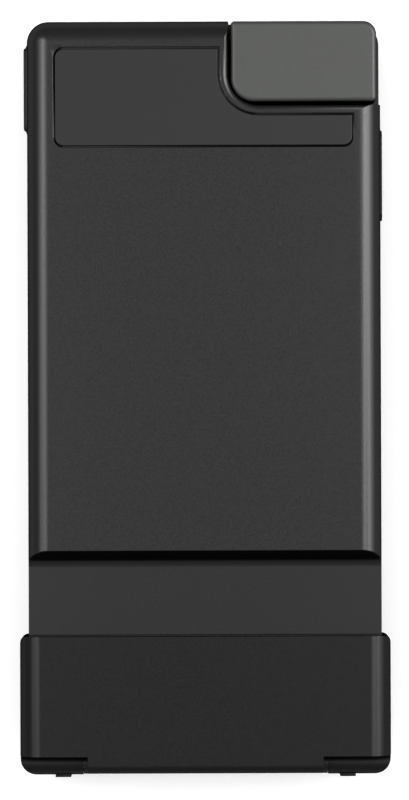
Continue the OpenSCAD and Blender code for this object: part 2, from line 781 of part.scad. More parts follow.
module front_hinge_pin() color(steel) side_rod(-1, pin_r, pin_in, pin_out);

module rear_hinge_pin() color(steel) difference() {
    rod_y(pin_r, pin_in, rear_pin_out);
    rod_y(pin_hollow_r, pin_in - past, rear_pin_out + past);
}

module hinge_washers() color("#101012") for (side = [-1, 1]) difference() {
    side_rod(side, ear_r + washer_play, washer_y, washer_y + washer_t);
    side_rod(side, ear_bore_r, washer_y - past, washer_y + washer_t + past);
}

// Cable from the fold axis into a half: y0 to y1 on the axis, then out and along the board
module hinge_cable(y_axis, y_down) color("#2a2a2e") {
    rod_y(cable_r, min(y_axis, y_down), max(y_axis, y_down));
    translate([0, y_down, 0]) sphere(cable_r);
    translate([0, y_down, 0]) cylinder(r = cable_r, h = cable_z);
    translate([0, y_down, cable_z]) sphere(cable_r);
    translate([-cable_end, y_down, cable_z]) rotate([0, 90, 0]) cylinder(r = cable_r, h = cable_end);
}

module circuit_board(notched, screws, cable_y) color(board_green) difference() {
    union() {
        slab(z_board, z_board_foot) difference() {
            free_end_plan(frame_inset + board_gap, -board_end);
            if (notched) notch_plan(frame_inset + board_gap);
        }
        // Socket for the hinge cable
        block3([-cable_end - socket_l, cable_y - socket_w / 2, cable_z - 1],
            [-cable_end, min(cable_y + socket_w / 2, case_w / 2 - opening_inset - 0.2), z_board + weld]);
    }
    for (at = screws) translate([at[0], at[1], z_board - past])
        cylinder(r = screw_hole_r + fit, h = board_t + 2 * past);
}

// Rubber dome whose hollow lets it collapse under a plunger
module dome(at) translate([at[0], at[1], z_cap_foot + 0.05]) difference() {
    cylinder(r1 = dome_top_r, r2 = dome_foot_r, h = z_mat - z_cap_foot + 0.05);
    translate([0, 0, dome_roof])
        cylinder(r1 = dome_top_r - dome_skin, r2 = dome_foot_r - dome_skin, h = z_mat);
}

module contact_mat(whites, blacks, buttons) color(mat_grey) {
    slab(z_mat, z_board - contact_gap / 2) intersection() {
        free_end_plan(frame_inset + mat_gap, -board_end);
        translate([-case_reach, -case_w / 2]) square([case_reach, case_w / 2 + bank_back + mat_gap]);
    }
    for (k = [0:len(whites) - 1]) for (at = white_domes(k, blacks)) dome(at);
    for (b = blacks) dome(black_dome(b[1]));
    for (b = buttons) dome(button_at(b));
}

module plunger(at, z0) translate([at[0], at[1], z0]) cylinder(r = plunger_r, h = z_cap_foot - z0);

module white_plan(k, blacks, i) difference() {
    intersection() {
        free_end_plan(key_inset + i, 0);
        translate([-cell_x(k) - key_pitch + key_gap / 2 + i, key_front + i])
            square([key_pitch - key_gap - 2 * i, white_l - 2 * i]);
    }
    for (b = blacks) translate([-boundary_x(b[1]) - black_w / 2 - key_gap - i, key_corner_y - i])
        square([black_w + 2 * (key_gap + i), black_l * 2]);
    translate([-corner_cut - frame_wall - key_clear - i, -case_w])
        square([case_w, case_w - front_frame_cut + frame_wall + key_clear + i]);
}

module white_key(k, blacks) color(key_white) {
    difference() {
        slab(z_white, z_cap_foot) white_plan(k, blacks, 0);
        slab(z_white + cap_wall, z_cap_foot + past) white_plan(k, blacks, cap_wall);
    }
    for (at = white_domes(k, blacks)) plunger(at, z_white + cap_wall - weld);
}

// Black key body, drawn in by i: sloped sides and a steeper slope at the front
module black_body(j, i, z0, z1) {
    t = black_taper;
    rise = (z1 - z0) / (z_cap_foot - z_black);
    w = black_w / 2 - i;
    intersection() {
        along_y(black_front + i, key_back - i) translate([-boundary_x(j), 0])
            polygon([[-w + t * rise, z0], [w - t * rise, z0], [w, z1], [-w, z1]]);
        along_x(-boundary_x(j) - black_w, -boundary_x(j) + black_w) polygon([
            [black_front + i + black_slope * rise, z0], [key_back - i, z0],
            [key_back - i, z1], [black_front + i, z1]]);
    }
}

module black_key(j) color(key_black) {
    difference() {
        black_body(j, 0, z_black, z_cap_foot);
        black_body(j, cap_wall, z_black + cap_wall, z_cap_foot + 0.5);
    }
    plunger(black_dome(j), z_black + cap_wall - weld);
}

module button(b) color("#45464a") translate(button_at(b)) {
    slab(z_button, z_cap_foot - flange_t - 0.1) rounded_rect(button_l, button_w, button_r);
    slab(z_plate + 0.15, z_plate + 0.15 + flange_t)
        rounded_rect(button_l + 2 * flange, button_w + 2 * flange, button_r + flange);
    translate([0, 0, z_plate]) cylinder(r = plunger_r, h = z_cap_foot - z_plate);
}

module case_screws(screws) color(steel) for (at = screws) translate([at[0], at[1], 0]) {
    translate([0, 0, screw_tip]) cylinder(r = screw_r, h = z_pad_floor - screw_head_h - screw_tip + weld);
    difference() {
        translate([0, 0, z_pad_floor - screw_head_h + contact_gap])
            cylinder(r = screw_head_r, h = screw_head_h - 2 * contact_gap);
        for (turn = [0, 90]) rotate([0, 0, turn]) slab(z_pad_floor - screw_slot_t, z_pad_floor + past)
            square([screw_slot_l, screw_slot_w], center = true);
    }
}

module magnets() color(steel) for (x = MAGNETS_X) translate([-x, magnet_y, z_plate + seat])
    cylinder(r = magnet_r, h = magnet_t);

module port_outline(w, h) translate([-port_x, port_z]) rounded_rect(w, h, h / 2 - 0.01);

module usb_connector() color(steel) {
    difference() {
        along_y(port_mouth - port_l, port_mouth) port_outline(port_w, port_h);
        along_y(port_mouth - port_l + port_back_t, port_mouth + past)
            port_outline(port_w - 2 * port_t, port_h - 2 * port_t);
    }
    along_y(port_mouth - port_l + port_back_t - weld, port_mouth - tongue_sink)
        translate([-port_x, port_z]) square([tongue_w, tongue_t], center = true);
}

module port_bezel() color(key_black) difference() {
    along_y(case_w / 2 - case_wall, case_w / 2 + bezel_proud)
        translate([-port_x, port_z]) rounded_rect(bezel_w, bezel_h, bezel_r);
    along_y(0, case_w) port_outline(port_w + 2 * port_window, port_h + 2 * port_window);
}

module microcontroller() color("#17181a")
    translate([chip_end - case_reach - chip[0] / 2, chip_y - chip[1] / 2, z_board_foot + contact_gap])
        cube(chip);

on_left() left_case();
on_left() left_frame();
on_left() left_hinge_housing();
on_left() grip_pad(false);  // left_grip_pad
on_left() contact_mat(LEFT_WHITES, LEFT_BLACKS, BUTTONS);  // left_contact_mat
on_left() circuit_board(false, LEFT_SCREWS, left_cable_y);  // left_circuit_board
on_left() case_screws(LEFT_SCREWS);  // left_case_screws
on_left() magnets();  // left_magnets
on_left() corner_block_cover();
on_left() status_lens();
on_left() usb_connector();
on_left() port_bezel();
on_left() front_grip();
on_left() front_hinge_pin();
on_left() rear_hinge_pin();
on_left() hinge_washers();
on_left() microcontroller();
on_left() hinge_cable(cable_meet + fit, left_cable_y);  // left_hinge_cable
on_right() right_case();
on_right() right_frame();
on_right() right_hinge_housing();
on_right() grip_pad(true);  // right_grip_pad
on_right() contact_mat(RIGHT_WHITES, RIGHT_BLACKS, []);  // right_contact_mat
on_right() circuit_board(true, RIGHT_SCREWS, right_cable_y);  // right_circuit_board
on_right() case_screws(RIGHT_SCREWS);  // right_case_screws
on_right() magnets();  // right_magnets
on_right() hinge_cable(cable_meet - fit, right_cable_y);  // right_hinge_cable
for (k = [0:len(LEFT_WHITES) - 1])
    on_left() white_key(k, LEFT_BLACKS);
for (k = [0:len(RIGHT_WHITES) - 1])
    on_right() white_key(k, RIGHT_BLACKS);
for (b = LEFT_BLACKS) on_left() black_key(b[1]);
for (b = RIGHT_BLACKS) on_right() black_key(b[1]);
for (b = BUTTONS) on_left() button(b);
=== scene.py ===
"""The looks of a folding music keyboard that lies closed on a pale floor.

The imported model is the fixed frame. Each operator finishes one group of its pieces: it gives
them their real surfaces and softens their moulded edges, or puts a fuller form in their place.
Lengths are in metres in the model's own frame: X along the keyboard with the hinge at +X,
Y from front to back, Z up.
"""

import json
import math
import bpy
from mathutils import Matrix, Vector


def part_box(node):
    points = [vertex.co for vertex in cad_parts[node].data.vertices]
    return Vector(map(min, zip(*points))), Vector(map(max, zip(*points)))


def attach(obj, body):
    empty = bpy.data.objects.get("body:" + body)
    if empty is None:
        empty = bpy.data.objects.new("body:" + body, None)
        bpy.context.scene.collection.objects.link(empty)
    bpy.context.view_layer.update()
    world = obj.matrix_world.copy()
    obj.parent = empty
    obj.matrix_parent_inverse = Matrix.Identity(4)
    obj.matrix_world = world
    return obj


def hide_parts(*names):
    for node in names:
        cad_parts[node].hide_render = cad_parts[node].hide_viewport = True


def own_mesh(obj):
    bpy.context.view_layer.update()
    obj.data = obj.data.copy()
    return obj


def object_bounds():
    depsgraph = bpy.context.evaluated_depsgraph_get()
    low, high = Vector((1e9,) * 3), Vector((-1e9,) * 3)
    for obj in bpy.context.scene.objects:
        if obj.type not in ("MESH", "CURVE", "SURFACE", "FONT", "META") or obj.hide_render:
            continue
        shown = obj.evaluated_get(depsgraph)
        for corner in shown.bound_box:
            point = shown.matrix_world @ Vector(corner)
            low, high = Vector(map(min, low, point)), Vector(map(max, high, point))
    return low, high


bl_info = {
    "name": "Folding Music Keyboard",
    "version": (1, 0, 0),
    "blender": (4, 5, 0),
    "location": "3D View > Sidebar > Keyboard",
    "description": "Surfaces, edges and small fittings of a folding music keyboard",
    "category": "Object",
}

import bmesh
import bpy
import numpy as np
from bpy.props import FloatProperty, FloatVectorProperty, PointerProperty
from mathutils import Vector

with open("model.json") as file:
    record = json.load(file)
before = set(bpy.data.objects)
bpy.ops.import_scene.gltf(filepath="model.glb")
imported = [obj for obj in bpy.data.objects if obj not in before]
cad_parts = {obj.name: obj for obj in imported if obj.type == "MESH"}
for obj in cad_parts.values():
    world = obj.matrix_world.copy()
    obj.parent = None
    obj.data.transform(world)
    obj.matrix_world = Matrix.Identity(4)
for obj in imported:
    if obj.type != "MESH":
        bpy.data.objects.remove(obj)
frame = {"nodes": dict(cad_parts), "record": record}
CAD_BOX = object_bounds()

MM = 0.001
TAU = 2 * math.pi

# The record's bodies and sliding joints
BEHAVIOUR = frame["record"]["behaviour"]
BODY_OF = {node: body for body, nodes in BEHAVIOUR["bodies"].items() for node in nodes}
TRAVEL = {joint["child"]: joint["range_m"][1] for joint in BEHAVIOUR["joints"] if "range_m" in joint}
SHARPS = [n for n in BODY_OF if "_sharp" in n]
NATURALS = [n for n in BODY_OF if n.startswith("key_") and n not in SHARPS]
BUTTONS = [n for n in BODY_OF if n.endswith("_button")]

# Contact mats: the sheet, and a dome as shares of its foot's radius and of its height
MAT_SHEET = 0.5 * MM
MAT_CORNER = 3 * MM
MAT_RIM = 0.15 * MM
DOME_TIP = 1.4 * MM
DOME_FOOT = 2.2 * MM
DOME_RADII = (1.1, 1.02, 0.96, 0.93, 0.84, 0.7, 0.64, 0.6, 0.4)
DOME_RISES = (0.0, 0.06, 0.2, 0.55, 0.78, 0.9, 0.97, 1.0, 0.96)
TIP_LEVEL = 0.02 * MM
PLUNGER_LEVEL = 0.1 * MM

# Hinge cable and hinge housings. The quarter circle's last bit, where its X reaches 0, is left out.
CABLE_RADIUS = 0.55 * MM
CABLE_BEND = 1.1 * MM
HOUSING_CORNER = 4.0 * MM
CORNER_END = 0.995

# Button signs, and the status light's guide
MARK_LINE = 0.34 * MM
MARK_REACH = 1.5 * MM
MARK_FILM = 0.02 * MM
LENS_CORNER = 0.3 * MM
LENS_EDGE = 0.28 * MM

# Front grip: its rim lies GRIP_STEP behind its face, and the face is drawn in by GRIP_LEDGE.
# The rim's rows are (inset, height over the rim).
GRIP_CORNER = 1.6 * MM
GRIP_STEP = 0.55 * MM
GRIP_LEDGE = 0.52 * MM
GRIP_FACE_EDGE = 0.4 * MM
GRIP_RIM = np.array([(0.0, -0.12), (0.04, -0.03), (0.15, 0.0), (0.42, 0.0), (0.5, 0.05)]) * MM

# Port: the cover on the tongue, and the contacts on both its faces, measured in from its end
COVER_SINK = 1.35 * MM
COVER_WIDTH, COVER_THICK, COVER_LENGTH = 6.76 * MM, 0.76 * MM, 4.9 * MM
COVER_CORNER, COVER_EDGE = 0.12 * MM, 0.15 * MM
CONTACTS_A_SIDE = 12
CONTACT_PITCH = 0.5 * MM
CONTACT_WIDTH, CONTACT_THICK, CONTACT_CORNER = 0.3 * MM, 0.06 * MM, 0.01 * MM
CONTACT_START, CONTACT_END = 3.6 * MM, 0.3 * MM
CONTACT_LEVEL = 0.38 * MM

# Meshes: points closer than MERGE are one, and faces within FLAT degrees of each other are one face
MERGE = 1e-6
FLAT = 0.4

# Most values of a noise texture lie in this span
NOISE_SPAN = {"From Min": 0.3, "From Max": 0.7}
BEVEL_RADIUS = 0.12 * MM

# Stage: the floor lies FLOOR_DROP below the object, the lamps stand on an arc of LAMP_ARC, and the
# camera is turned by CAMERA_TURN degrees, as the photograph's picture is
FLOOR_DROP = 0.05 * MM
LAMP_ARC = 1.1
ROOM_LIGHT = 0.78
CAMERA_TURN = 0.195
CAMERA_SHIFT = -0.1 * MM
SENSOR_WIDTH = 36.0

# Lamps: name, lean from upright towards the back in degrees, X, length and width in metres, and
# brightness. The strips only show in the gloss. Their places and brightness were matched to the
# highlights seen from straight above, and all but front_wing are much brighter than the boxes.
SOFT_BOXES = (
    ("front_box", -36.0, -0.18, 0.7, 0.5, 1.6),
    ("rear_box", 62.0, -0.18, 0.7, 0.6, 2.2))
GLOSS_STRIPS = (
    ("front_strip", -24.0, -0.24, 0.34, 0.20, 7.0),
    ("front_strip_edge", -34.0, -0.24, 0.34, 0.16, 6.3),
    ("front_strip_end", -20.0, 0.08, 0.32, 0.15, 6.3),
    ("front_wing", -46.0, -0.1, 0.7, 0.26, 1.6),
    ("rear_strip", 24.0, -0.24, 0.34, 0.20, 11.1),
    ("rear_strip_edge", 37.0, -0.24, 0.34, 0.28, 12.6),
    ("rear_strip_end", 24.0, 0.08, 0.32, 0.24, 5.9),
    ("rear_wing", 50.0, -0.1, 0.7, 0.26, 5.9))


# ---------------------------------------------------------------- colours and shader nodes

def linear(code):
    """Linear RGBA of an sRGB hex colour."""
    c = np.array([int(code[i:i + 2], 16) for i in (1, 3, 5)]) / 255
    c = np.where(c <= 0.04045, c / 12.92, ((c + 0.055) / 1.055) ** 2.4)
    return (*c.tolist(), 1.0)


def shade(colour, factor):
    """The same hue, with its light scaled by a factor."""
    return (*[min(c * factor, 1.0) for c in colour[:3]], 1.0)


def add(material, kind, inputs=None, **settings):
    """Adds one shader node. An input is a value, or the socket that it is linked to."""
    tree = material.node_tree
    node = tree.nodes.new("ShaderNode" + kind)
    for name, value in settings.items():
        setattr(node, name, value)
    for name, value in (inputs or {}).items():
        if isinstance(value, bpy.types.NodeSocket):
            tree.links.new(value, node.inputs[name])
        else:
            node.inputs[name].default_value = value
    return node


def new_material(name):
    material = bpy.data.materials.new(name)
    material.use_nodes = True
    material.node_tree.nodes.clear()
    return material


def two_tones(material, value, dark, light, low=0.35, high=0.65):
    """A ramp between two tones, as the value goes from low to high."""
    ramp = add(material, "ValToRGB", {"Fac": value})
    ends = ramp.color_ramp.elements
    ends[0].position, ends[0].color = low, dark
    ends[1].position, ends[1].color = high, light
    return ramp.outputs["Color"]


def grained(name, colour, grain, depth, rough, spread=0.08, rough_spread=0.05, cloud=9 * MM, **shader):
    """A moulded surface: an even colour with a fine grain in its height, tone and gloss.

    grain is the distance between the grain's pits and depth their depth, in metres; cloud is
    the size of the faint patches that flow leaves in a moulding; the rest goes to the shader."""
    material = new_material(name)
    place = add(material, "TexCoord").outputs["Object"]
    pits = add(material, "TexNoise", {
        "Vector": place, "Scale": 1 / grain, "Detail": 3.0, "Roughness": 0.6})
    patches = add(material, "TexNoise", {"Vector": place, "Scale": 1 / cloud, "Detail": 2.0})
    mixed = add(material, "Math", {0: pits.outputs["Fac"], 1: 0.75}, operation="MULTIPLY")
    mixed = add(material, "Math", {0: patches.outputs["Fac"], 1: 0.25, 2: mixed.outputs[0]},
                operation="MULTIPLY_ADD")
    tone = two_tones(material, mixed.outputs[0], shade(colour, 1 - spread), shade(colour, 1 + spread))
    gloss = add(material, "MapRange", {
        "Value": pits.outputs["Fac"], **NOISE_SPAN,
        "To Min": rough - rough_spread, "To Max": rough + rough_spread})
    edge = add(material, "Bevel", {"Radius": BEVEL_RADIUS}, samples=4)
    relief = add(material, "Bump", {
        "Height": pits.outputs["Fac"], "Distance": depth, "Strength": 1.0,
        "Normal": edge.outputs["Normal"]})
    principled = add(material, "BsdfPrincipled", {
        "Base Color": tone, "Roughness": gloss.outputs["Result"],
        "Normal": relief.outputs["Normal"], **shader})
    add(material, "OutputMaterial", {"Surface": principled.outputs["BSDF"]})
    return material


# ---------------------------------------------------------------- finishes

# The pits of a spark-eroded grain swallow light that comes in low, so its gloss fades at the edges
# of what is seen. A clear layer without a reflection of its own, with a grey tint, does the same.
SWALLOWING_GRAIN = {
    "Coat Weight": 1.0, "Coat IOR": 1.0, "Coat Roughness": 0.6, "Coat Tint": (0.46, 0.46, 0.46, 1.0)}


def spark_eroded_abs(looks):
    # Black ABS from a spark-eroded mould: an even satin black with a grain like fine sand. The
    # real grain is about 0.1 mm across; it is drawn at 0.35 mm, so that it shows in the picture.
    return grained("spark_eroded_abs", looks.case_colour, 0.35 * MM, 0.0025 * MM, 0.32, spread=0.16,
                   **{"IOR": 1.53}, **SWALLOWING_GRAIN)


def collar_abs_and_shade(looks):
    # The hinge housings: the same ABS, from a mould with a slightly deeper grain. Its colour is a little
    # darker than the cases', which paints the shade of the dimmer light at the hinge end. Its IOR is
    # lower than that of ABS, because it was matched to the highlights that are seen from above.
    return grained("hinge_housing_abs_and_shade", looks.housing_colour_and_shade, 0.35 * MM, 0.003 * MM, 0.34, spread=0.16,
                   **{"IOR": 1.39}, **SWALLOWING_GRAIN)


def deck_abs(looks):
    # The decks round the keys: ABS polished one step finer than the cases.
    return grained("deck_abs", looks.case_colour, 0.3 * MM, 0.004 * MM, 0.33, spread=0.06,
                   **{"IOR": 1.53}, **SWALLOWING_GRAIN)


def grip_elastomer(looks):
    # Thermoplastic elastomer: soft to the touch, dull, a little warmer and lighter than the ABS. Its
    # IOR was matched to the picture as well.
    return grained("grip_elastomer", looks.pad_colour, 0.5 * MM, 0.008 * MM, 0.5, spread=0.08,
                   **{"IOR": 1.43}, **SWALLOWING_GRAIN)


def grey_block_abs(looks):
    # Grey ABS with a fine matt grain: the block that covers the controls' end.
    return grained("grey_block_abs", looks.block_colour, 0.45 * MM, 0.006 * MM, 0.42, spread=0.05,
                   **{"IOR": 1.53}, **SWALLOWING_GRAIN)


def white_key_abs(looks):
    # Ivory-white key ABS: satin, with hardly any grain. Its reflection is kept low, or the bright
    # strips would turn it plain white.
    return grained("white_key_abs", looks.white_key_colour, 0.8 * MM, 0.002 * MM, 0.42, spread=0.02,
                   cloud=14 * MM, **{"IOR": 1.53, "Specular IOR Level": 0.1})


def black_key_abs(looks):
    # Black key ABS: matt, so that fingers don't slip.
    return grained("black_key_abs", looks.black_key_colour, 0.45 * MM, 0.006 * MM, 0.4, spread=0.1,
                   **{"IOR": 1.53}, **SWALLOWING_GRAIN)


def button_silicone(looks):
    # Silicone rubber buttons: dark grey and dull, with a faint bloom.
    return grained("button_silicone", looks.button_colour, 0.5 * MM, 0.006 * MM, 0.58, spread=0.06,
                   **{"IOR": 1.41}, **SWALLOWING_GRAIN)


def contact_silicone(looks):
    # Light grey silicone of the contact mats: waxy and slightly cloudy.
    return grained("contact_silicone", linear("#8d9296"), 0.7 * MM, 0.004 * MM, 0.5, spread=0.06,
                   **{"IOR": 1.41, "Subsurface Weight": 0.1, "Subsurface Scale": 0.6 * MM})


def bezel_polycarbonate(looks):
    # Black polycarbonate round the port: harder and glossier than the cases.
    return grained("bezel_polycarbonate", linear("#1a1a1c"), 0.4 * MM, 0.003 * MM, 0.26, spread=0.06,
                   **{"IOR": 1.585}, **SWALLOWING_GRAIN)


def washer_acetal(looks):
    # Black acetal washers: turned, slippery, half gloss.
    return grained("washer_acetal", linear("#121214"), 0.3 * MM, 0.004 * MM, 0.34, spread=0.08,
                   **{"IOR": 1.48}, **SWALLOWING_GRAIN)


def cable_pvc(looks):
    # PVC jacket of the hinge cable: smooth and half gloss.
    return grained("cable_pvc", linear("#2a2a2e"), 0.5 * MM, 0.003 * MM, 0.4, spread=0.05,
                   **{"IOR": 1.53})


def printed_mark(looks):
    # Pad-printed light grey ink, matt, with small pores.
    return grained("printed_mark", linear("#b9bcb8"), 0.25 * MM, 0.002 * MM, 0.6, spread=0.05,
                   **{"IOR": 1.5})


def chip_epoxy(looks):
    # Moulded epoxy of a chip: nearly black, with a coarse matt grain.
    return grained("chip_epoxy", linear("#17181a"), 0.3 * MM, 0.006 * MM, 0.55, spread=0.1,
                   **{"IOR": 1.55})


def metal(name, code, rough, streak):
    """A metal with fine marks of its making that run along Y, one streak width apart."""
    material = new_material(name)
    place = add(material, "TexCoord").outputs["Object"]
    drawn = add(material, "Mapping", {"Vector": place, "Scale": (1 / streak, 0.08 / streak, 1 / streak)})
    marks = add(material, "TexNoise", {
        "Vector": drawn.outputs["Vector"], "Scale": 1.0, "Detail": 4.0})
    colour = linear(code)
    tone = two_tones(material, marks.outputs["Fac"], shade(colour, 0.92), shade(colour, 1.06))
    gloss = add(material, "MapRange", {
        "Value": marks.outputs["Fac"], **NOISE_SPAN,
        "To Min": rough - 0.06, "To Max": rough + 0.08})
    relief = add(material, "Bump", {
        "Height": marks.outputs["Fac"], "Distance": 0.002 * MM, "Strength": 1.0})
    principled = add(material, "BsdfPrincipled", {
        "Base Color": tone, "Metallic": 1.0, "Roughness": gloss.outputs["Result"],
        "Normal": relief.outputs["Normal"]})
    add(material, "OutputMaterial", {"Surface": principled.outputs["BSDF"]})
    return material


def nickel_steel(looks):
    # Nickel-plated steel: a pale, slightly warm metal with fine drawing marks.
    return metal("nickel_steel", "#b9bcc0", 0.3, 0.3 * MM)


def magnet_nickel(looks):
    # Nickel on a sintered magnet: brighter and smoother.
    return metal("magnet_nickel", "#c9cbce", 0.2, 0.5 * MM)


def contact_gold(looks):
    # Thin gold on the port's contacts.
    return metal("contact_gold", "#d9b45f", 0.25, 0.2 * MM)


def solder_mask(looks):
    # Green solder mask over copper: glossy lacquer, a shade lighter where a track runs under it.
    # The tracks are 0.5 mm wide and 2 mm apart.
    material = new_material("solder_mask")
    place = add(material, "TexCoord").outputs["Object"]
    tracks = add(material, "TexBrick", {
        "Vector": place, "Scale": 1.0, "Mortar Size": 0.25 * MM, "Mortar Smooth": 0.2,
        "Brick Width": 9 * MM, "Row Height": 2 * MM,
        "Color1": linear("#1f4a34"), "Color2": linear("#21503a"), "Mortar": linear("#2f6b4b")})
    haze = add(material, "TexNoise", {"Vector": place, "Scale": 1 / (3 * MM), "Detail": 2.0})
    gloss = add(material, "MapRange", {"Value": haze.outputs["Fac"], "To Min": 0.22, "To Max": 0.36})
    relief = add(material, "Bump", {"Height": tracks.outputs["Fac"], "Distance": 0.03 * MM})
    principled = add(material, "BsdfPrincipled", {
        "Base Color": tracks.outputs["Color"], "Roughness": gloss.outputs["Result"],
        "Normal": relief.outputs["Normal"], "IOR": 1.5, "Coat Weight": 0.4, "Coat Roughness": 0.15})
    add(material, "OutputMaterial", {"Surface": principled.outputs["BSDF"]})
    return material


def lens_polycarbonate(looks):
    # Frosted clear polycarbonate of the status light: milky, with light inside it.
    material = new_material("lens_polycarbonate")
    place = add(material, "TexCoord").outputs["Object"]
    frost = add(material, "TexNoise", {"Vector": place, "Scale": 1 / (0.3 * MM), "Detail": 2.0})
    gloss = add(material, "MapRange", {"Value": frost.outputs["Fac"], "To Min": 0.25, "To Max": 0.4})
    relief = add(material, "Bump", {"Height": frost.outputs["Fac"], "Distance": 0.004 * MM})
    tone = two_tones(material, frost.outputs["Fac"], linear("#7d8387"), linear("#8d9296"))
    principled = add(material, "BsdfPrincipled", {
        "Base Color": tone, "Roughness": gloss.outputs["Result"],
        "Normal": relief.outputs["Normal"], "IOR": 1.585, "Transmission Weight": 0.5})
    add(material, "OutputMaterial", {"Surface": principled.outputs["BSDF"]})
    return material


def finish(make):
    """The one material that a finish function makes, made when it is first asked for."""
    looks = bpy.context.scene.keyboard_looks
    made = finish.made
    if make not in made:
        made[make] = make(looks)
    return made[make]


finish.made = {}


# ---------------------------------------------------------------- meshes

def dress(node, make):
    """Gives a CAD node that keeps its own shape its real surface."""
    materials = frame["nodes"][node].data.materials
    materials.clear()
    materials.append(finish(make))


def place(obj, node, make, slot, replaced=()):
    """Lets a new piece ride on a node's body, with its finish. The slot argument is not used."""
    obj.data.materials.clear()
    obj.data.materials.append(finish(make))
    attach(obj, BODY_OF[node])
    if replaced:
        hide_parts(*replaced)
    return obj


def link_mesh(name, mesh):
    obj = bpy.data.objects.new(name, mesh)
    bpy.context.scene.collection.objects.link(obj)
    return obj


def soften(node, radius, make, slot, segments=2, sharp=35.0, reshape=None):
    """A copy of a CAD node whose outward edges sharper than sharp degrees are rounded.

    The copy's loose triangles are merged and its flat faces made whole, so that the rounding
    runs along the real edges only. reshape, when given, moves the points before that."""
    mesh = frame["nodes"][node].data.copy()
    bm = bmesh.new()
    bm.from_mesh(mesh)
    bmesh.ops.remove_doubles(bm, verts=bm.verts, dist=MERGE)
    if reshape:
        for vert in bm.verts:
            vert.co = reshape(vert.co)
    bmesh.ops.dissolve_limit(bm, angle_limit=math.radians(FLAT), verts=bm.verts, edges=bm.edges)
    edges = [e for e in bm.edges if len(e.link_faces) == 2 and e.is_convex
             and e.calc_face_angle(0.0) > math.radians(sharp)]
    bmesh.ops.bevel(bm, geom=edges, offset=radius, offset_type="OFFSET", segments=segments,
                    profile=0.5, affect="EDGES", clamp_overlap=True, harden_normals=False)
    bmesh.ops.triangulate(bm, faces=[f for f in bm.faces if len(f.verts) > 4])
    bm.to_mesh(mesh)
    bm.free()
    mesh.polygons.foreach_set("use_smooth", np.ones(len(mesh.polygons), bool))
    mesh.update()
    piece = link_mesh(node + "_moulded", mesh)
    mesh.set_sharp_from_angle(angle=math.radians(sharp))
    normals = piece.modifiers.new("Face weighted normals", "WEIGHTED_NORMAL")
    normals.keep_sharp = True
    return place(piece, node, make, slot, (node,))


def quads(rows, columns):
    """Faces between neighbouring points of a grid whose rows close on themselves."""
    i = np.arange(rows - 1)[:, None] * columns
    j = np.arange(columns)[None]
    k = (j + 1) % columns
    return np.stack([i + j, i + k, i + k + columns, i + j + columns], -1).reshape(-1, 4)


def loft(rings):
    """Points and faces of a closed solid through an array of rings, rows x points x 3."""
    rows, columns = rings.shape[:2]
    sides = quads(rows, columns).tolist()
    first = list(range(columns))[::-1]
    last = [(rows - 1) * columns + i for i in range(columns)]
    return rings.reshape(-1, 3), sides + [first, last]


def gather(solids):
    """Several solids' points and faces as one list of each."""
    points, faces, start = [], [], 0
    for p, f in solids:
        points.append(p)
        faces += [[start + i for i in face] for face in f]
        start += len(p)
    return np.concatenate(points), faces


def new_piece(name, solids, smooth=40.0):
    """A piece from solids given as points and faces, smooth where its faces meet at a low angle."""
    points, faces = gather(solids)
    mesh = bpy.data.meshes.new(name)
    mesh.from_pydata(points.tolist(), [], faces)
    bm = bmesh.new()
    bm.from_mesh(mesh)
    bmesh.ops.recalc_face_normals(bm, faces=bm.faces)
    bm.to_mesh(mesh)
    bm.free()
    mesh.polygons.foreach_set("use_smooth", np.ones(len(mesh.polygons), bool))
    mesh.update()
    mesh.set_sharp_from_angle(angle=math.radians(smooth))
    return link_mesh(name, mesh)


def rounded_outline(length, width, radius, steps=6):
    """Points round a rectangle with rounded corners, centred on 0: four quarter circles.

    The radius stays a little under half the width, so that no two points coincide."""
    radius = min(radius, length / 2, width / 2) * 0.999
    turn = np.linspace(0, math.pi / 2, steps)
    corners = []
    for i, (sx, sy) in enumerate(((1, 1), (-1, 1), (-1, -1), (1, -1))):
        angle = turn + i * math.pi / 2
        corners.append(np.stack([sx * (length / 2 - radius) + radius * np.cos(angle),
                                 sy * (width / 2 - radius) + radius * np.sin(angle)], -1))
    return np.concatenate(corners)


def terrace(outline, rows):
    """A solid over an outline through rows of (inset, height).

    A row's ring is the outline shrunk about its middle, so that its reach is less by the inset."""
    centre = (outline.max(0) + outline.min(0)) / 2
    reach = np.abs(outline - centre).max(0)
    rings = []
    for inset, height in rows:
        ring = centre + (outline - centre) * (reach - inset) / reach
        rings.append(np.column_stack([ring, np.full(len(ring), height)]))
    return loft(np.array(rings))


def rounding(edge, high, steps=5):
    """Rows of a rounded upper edge: drawn in by edge (1 - cos t), at high - edge (1 - sin t)."""
    t = np.linspace(0, math.pi / 2, steps)
    return list(zip(edge * (1 - np.cos(t)), high - edge * (1 - np.sin(t))))


def aimed(solid, way):
    """Turns a solid made over (u, v, height): way gives the height's direction in the model.

    Towards the front or the back, u is X and v is Z. Towards the free end, u is Y and v is Z."""
    points, faces = solid
    u, v, h = points.T
    turned = {"front": (u, -h, v), "back": (u, h, v), "free_end": (-h, u, v)}[way]
    return np.column_stack(turned), faces


def revolve(centre, profile, count=24):
    """A turned form about an upright line: rings of the profile's radii at its heights."""
    angle = np.arange(count) * TAU / count
    profile = np.array(profile)
    rings = np.zeros((len(profile), count, 3))
    rings[:, :, 0] = centre[0] + profile[:, :1] * np.cos(angle)
    rings[:, :, 1] = centre[1] + profile[:, :1] * np.sin(angle)
    rings[:, :, 2] = profile[:, 1:]
    return loft(rings)


